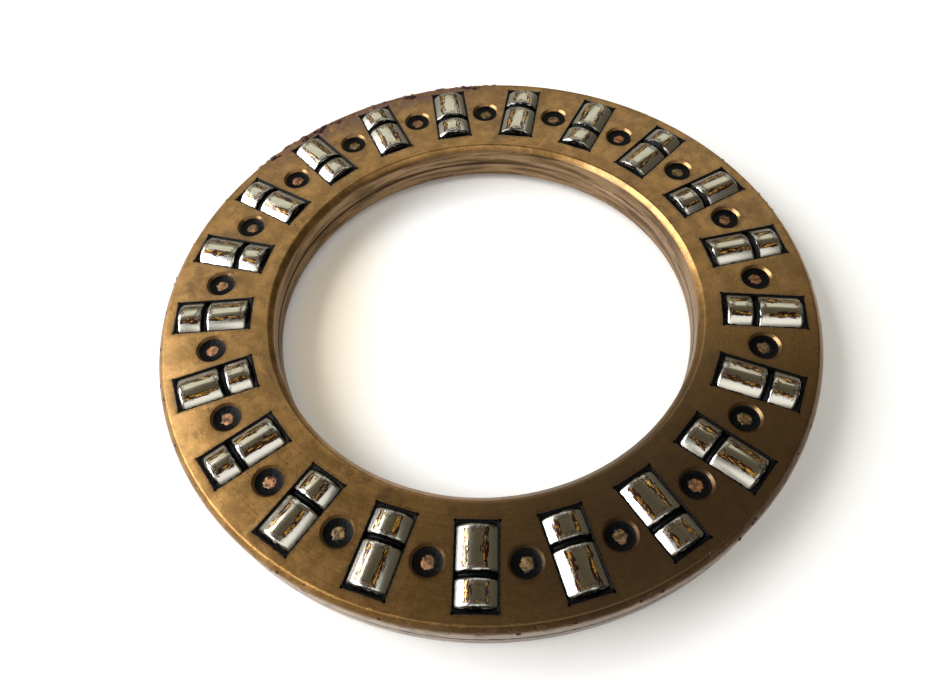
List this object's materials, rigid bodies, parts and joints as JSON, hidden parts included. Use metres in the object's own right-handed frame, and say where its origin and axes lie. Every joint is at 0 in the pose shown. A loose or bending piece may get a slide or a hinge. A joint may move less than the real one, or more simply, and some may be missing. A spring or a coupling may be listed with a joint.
{
  "type": "roller thrust bearing cage assembly",
  "caption": "Ring-shaped bronze cage, riveted from two halves, holding a long and a short steel roller in each radial pocket; carries axial load between two flat washers.",
  "frame": {"origin": "centre of the bore, in the plane where the two halves of the cage meet, which also holds every roller's axis", "axes": "+Z along the bearing's axis, out of the face whose rivet heads are formed flat; -Y points at the bridge between the first and the last pocket, and the pockets are numbered counterclockwise seen from +Z"},
  "size_m": [0.155, 0.155, 0.013],
  "materials": {
    "cage_bronze": "machined, oil-stained",
    "rivet_copper": "formed, dull",
    "roller_steel": "ground and polished"
  },
  "bodies": {
    "cage": {"cage_upper": "cage_bronze", "cage_lower": "cage_bronze", "cage_rivets": "rivet_copper"},
    "long_roller_01": {"long_roller_01": "roller_steel"},
    "short_roller_01": {"short_roller_01": "roller_steel"},
    "long_roller_02": {"long_roller_02": "roller_steel"},
    "short_roller_02": {"short_roller_02": "roller_steel"},
    "long_roller_03": {"long_roller_03": "roller_steel"},
    "short_roller_03": {"short_roller_03": "roller_steel"},
    "long_roller_04": {"long_roller_04": "roller_steel"},
    "short_roller_04": {"short_roller_04": "roller_steel"},
    "long_roller_05": {"long_roller_05": "roller_steel"},
    "short_roller_05": {"short_roller_05": "roller_steel"},
    "long_roller_06": {"long_roller_06": "roller_steel"},
    "short_roller_06": {"short_roller_06": "roller_steel"},
    "long_roller_07": {"long_roller_07": "roller_steel"},
    "short_roller_07": {"short_roller_07": "roller_steel"},
    "long_roller_08": {"long_roller_08": "roller_steel"},
    "short_roller_08": {"short_roller_08": "roller_steel"},
    "long_roller_09": {"long_roller_09": "roller_steel"},
    "short_roller_09": {"short_roller_09": "roller_steel"},
    "long_roller_10": {"long_roller_10": "roller_steel"},
    "short_roller_10": {"short_roller_10": "roller_steel"},
    "long_roller_11": {"long_roller_11": "roller_steel"},
    "short_roller_11": {"short_roller_11": "roller_steel"},
    "long_roller_12": {"long_roller_12": "roller_steel"},
    "short_roller_12": {"short_roller_12": "roller_steel"},
    "long_roller_13": {"long_roller_13": "roller_steel"},
    "short_roller_13": {"short_roller_13": "roller_steel"},
    "long_roller_14": {"long_roller_14": "roller_steel"},
    "short_roller_14": {"short_roller_14": "roller_steel"},
    "long_roller_15": {"long_roller_15": "roller_steel"},
    "short_roller_15": {"short_roller_15": "roller_steel"},
    "long_roller_16": {"long_roller_16": "roller_steel"},
    "short_roller_16": {"short_roller_16": "roller_steel"},
    "long_roller_17": {"long_roller_17": "roller_steel"},
    "short_roller_17": {"short_roller_17": "roller_steel"},
    "long_roller_18": {"long_roller_18": "roller_steel"},
    "short_roller_18": {"short_roller_18": "roller_steel"},
    "long_roller_19": {"long_roller_19": "roller_steel"},
    "short_roller_19": {"short_roller_19": "roller_steel"},
    "long_roller_20": {"long_roller_20": "roller_steel"},
    "short_roller_20": {"short_roller_20": "roller_steel"},
    "long_roller_21": {"long_roller_21": "roller_steel"},
    "short_roller_21": {"short_roller_21": "roller_steel"}
  },
  "joints": [
    {"name": "long_roller_01_spin", "type": "hinge", "parent": "cage", "child": "long_roller_01", "pos_m": [0.01014, -0.06729, 0], "axis": [0.149, -0.9888, 0], "continuous": true},
    {"name": "short_roller_01_spin", "type": "hinge", "parent": "cage", "child": "short_roller_01", "pos_m": [0.00883, -0.05859, 0], "axis": [0.149, -0.9888, 0], "continuous": true},
    {"name": "long_roller_02_spin", "type": "hinge", "parent": "cage", "child": "long_roller_02", "pos_m": [0.02653, -0.05509, 0], "axis": [0.4339, -0.901, 0], "continuous": true},
    {"name": "short_roller_02_spin", "type": "hinge", "parent": "cage", "child": "short_roller_02", "pos_m": [0.03035, -0.06302, 0], "axis": [0.4339, -0.901, 0], "continuous": true},
    {"name": "long_roller_03_spin", "type": "hinge", "parent": "cage", "child": "long_roller_03", "pos_m": [0.04629, -0.04988, 0], "axis": [0.6802, -0.7331, 0], "continuous": true},
    {"name": "short_roller_03_spin", "type": "hinge", "parent": "cage", "child": "short_roller_03", "pos_m": [0.0403, -0.04343, 0], "axis": [0.6802, -0.7331, 0], "continuous": true},
    {"name": "long_roller_04_spin", "type": "hinge", "parent": "cage", "child": "long_roller_04", "pos_m": [0.05296, -0.03058, 0], "axis": [0.866, -0.5, 0], "continuous": true},
    {"name": "short_roller_04_spin", "type": "hinge", "parent": "cage", "child": "short_roller_04", "pos_m": [0.06058, -0.03497, 0], "axis": [0.866, -0.5, 0], "continuous": true},
    {"name": "long_roller_05_spin", "type": "hinge", "parent": "cage", "child": "long_roller_05", "pos_m": [0.06634, -0.01514, 0], "axis": [0.9749, -0.2225, 0], "continuous": true},
    {"name": "short_roller_05_spin", "type": "hinge", "parent": "cage", "child": "short_roller_05", "pos_m": [0.05776, -0.01318, 0], "axis": [0.9749, -0.2225, 0], "continuous": true},
    {"name": "long_roller_06_spin", "type": "hinge", "parent": "cage", "child": "long_roller_06", "pos_m": [0.06098, 0.00457, 0], "axis": [0.9972, 0.0747, 0], "continuous": true},
    {"name": "short_roller_06_spin", "type": "hinge", "parent": "cage", "child": "short_roller_06", "pos_m": [0.06975, 0.00523, 0], "axis": [0.9972, 0.0747, 0], "continuous": true},
    {"name": "long_roller_07_spin", "type": "hinge", "parent": "cage", "child": "long_roller_07", "pos_m": [0.06335, 0.02486, 0], "axis": [0.9309, 0.3653, 0], "continuous": true},
    {"name": "short_roller_07_spin", "type": "hinge", "parent": "cage", "child": "short_roller_07", "pos_m": [0.05515, 0.02165, 0], "axis": [0.9309, 0.3653, 0], "continuous": true},
    {"name": "long_roller_08_spin", "type": "hinge", "parent": "cage", "child": "long_roller_08", "pos_m": [0.04781, 0.03813, 0], "axis": [0.7818, 0.6235, 0], "continuous": true},
    {"name": "short_roller_08_spin", "type": "hinge", "parent": "cage", "child": "short_roller_08", "pos_m": [0.05469, 0.04361, 0], "axis": [0.7818, 0.6235, 0], "continuous": true},
    {"name": "long_roller_09_spin", "type": "hinge", "parent": "cage", "child": "long_roller_09", "pos_m": [0.03833, 0.05623, 0], "axis": [0.5633, 0.8262, 0], "continuous": true},
    {"name": "short_roller_09_spin", "type": "hinge", "parent": "cage", "child": "short_roller_09", "pos_m": [0.03338, 0.04895, 0], "axis": [0.5633, 0.8262, 0], "continuous": true},
    {"name": "long_roller_10_spin", "type": "hinge", "parent": "cage", "child": "long_roller_10", "pos_m": [0.01802, 0.05843, 0], "axis": [0.2948, 0.9556, 0], "continuous": true},
    {"name": "short_roller_10_spin", "type": "hinge", "parent": "cage", "child": "short_roller_10", "pos_m": [0.02062, 0.06684, 0], "axis": [0.2948, 0.9556, 0], "continuous": true},
    {"name": "long_roller_11_spin", "type": "hinge", "parent": "cage", "child": "long_roller_11", "pos_m": [0, 0.06805, 0], "axis": [0, 1, 0], "continuous": true},
    {"name": "short_roller_11_spin", "type": "hinge", "parent": "cage", "child": "short_roller_11", "pos_m": [0, 0.05925, 0], "axis": [0, 1, 0], "continuous": true},
    {"name": "long_roller_12_spin", "type": "hinge", "parent": "cage", "child": "long_roller_12", "pos_m": [-0.01802, 0.05843, 0], "axis": [-0.2948, 0.9556, 0], "continuous": true},
    {"name": "short_roller_12_spin", "type": "hinge", "parent": "cage", "child": "short_roller_12", "pos_m": [-0.02062, 0.06684, 0], "axis": [-0.2948, 0.9556, 0], "continuous": true},
    {"name": "long_roller_13_spin", "type": "hinge", "parent": "cage", "child": "long_roller_13", "pos_m": [-0.03833, 0.05623, 0], "axis": [-0.5633, 0.8262, 0], "continuous": true},
    {"name": "short_roller_13_spin", "type": "hinge", "parent": "cage", "child": "short_roller_13", "pos_m": [-0.03338, 0.04895, 0], "axis": [-0.5633, 0.8262, 0], "continuous": true},
    {"name": "long_roller_14_spin", "type": "hinge", "parent": "cage", "child": "long_roller_14", "pos_m": [-0.04781, 0.03813, 0], "axis": [-0.7818, 0.6235, 0], "continuous": true},
    {"name": "short_roller_14_spin", "type": "hinge", "parent": "cage", "child": "short_roller_14", "pos_m": [-0.05469, 0.04361, 0], "axis": [-0.7818, 0.6235, 0], "continuous": true},
    {"name": "long_roller_15_spin", "type": "hinge", "parent": "cage", "child": "long_roller_15", "pos_m": [-0.06335, 0.02486, 0], "axis": [-0.9309, 0.3653, 0], "continuous": true},
    {"name": "short_roller_15_spin", "type": "hinge", "parent": "cage", "child": "short_roller_15", "pos_m": [-0.05515, 0.02165, 0], "axis": [-0.9309, 0.3653, 0], "continuous": true},
    {"name": "long_roller_16_spin", "type": "hinge", "parent": "cage", "child": "long_roller_16", "pos_m": [-0.06098, 0.00457, 0], "axis": [-0.9972, 0.0747, 0], "continuous": true},
    {"name": "short_roller_16_spin", "type": "hinge", "parent": "cage", "child": "short_roller_16", "pos_m": [-0.06975, 0.00523, 0], "axis": [-0.9972, 0.0747, 0], "continuous": true},
    {"name": "long_roller_17_spin", "type": "hinge", "parent": "cage", "child": "long_roller_17", "pos_m": [-0.06634, -0.01514, 0], "axis": [-0.9749, -0.2225, 0], "continuous": true},
    {"name": "short_roller_17_spin", "type": "hinge", "parent": "cage", "child": "short_roller_17", "pos_m": [-0.05776, -0.01318, 0], "axis": [-0.9749, -0.2225, 0], "continuous": true},
    {"name": "long_roller_18_spin", "type": "hinge", "parent": "cage", "child": "long_roller_18", "pos_m": [-0.05296, -0.03058, 0], "axis": [-0.866, -0.5, 0], "continuous": true},
    {"name": "short_roller_18_spin", "type": "hinge", "parent": "cage", "child": "short_roller_18", "pos_m": [-0.06058, -0.03497, 0], "axis": [-0.866, -0.5, 0], "continuous": true},
    {"name": "long_roller_19_spin", "type": "hinge", "parent": "cage", "child": "long_roller_19", "pos_m": [-0.04629, -0.04988, 0], "axis": [-0.6802, -0.7331, 0], "continuous": true},
    {"name": "short_roller_19_spin", "type": "hinge", "parent": "cage", "child": "short_roller_19", "pos_m": [-0.0403, -0.04343, 0], "axis": [-0.6802, -0.7331, 0], "continuous": true},
    {"name": "long_roller_20_spin", "type": "hinge", "parent": "cage", "child": "long_roller_20", "pos_m": [-0.02653, -0.05509, 0], "axis": [-0.4339, -0.901, 0], "continuous": true},
    {"name": "short_roller_20_spin", "type": "hinge", "parent": "cage", "child": "short_roller_20", "pos_m": [-0.03035, -0.06302, 0], "axis": [-0.4339, -0.901, 0], "continuous": true},
    {"name": "long_roller_21_spin", "type": "hinge", "parent": "cage", "child": "long_roller_21", "pos_m": [-0.01014, -0.06729, 0], "axis": [-0.149, -0.9888, 0], "continuous": true},
    {"name": "short_roller_21_spin", "type": "hinge", "parent": "cage", "child": "short_roller_21", "pos_m": [-0.00883, -0.05859, 0], "axis": [-0.149, -0.9888, 0], "continuous": true}
  ]
}
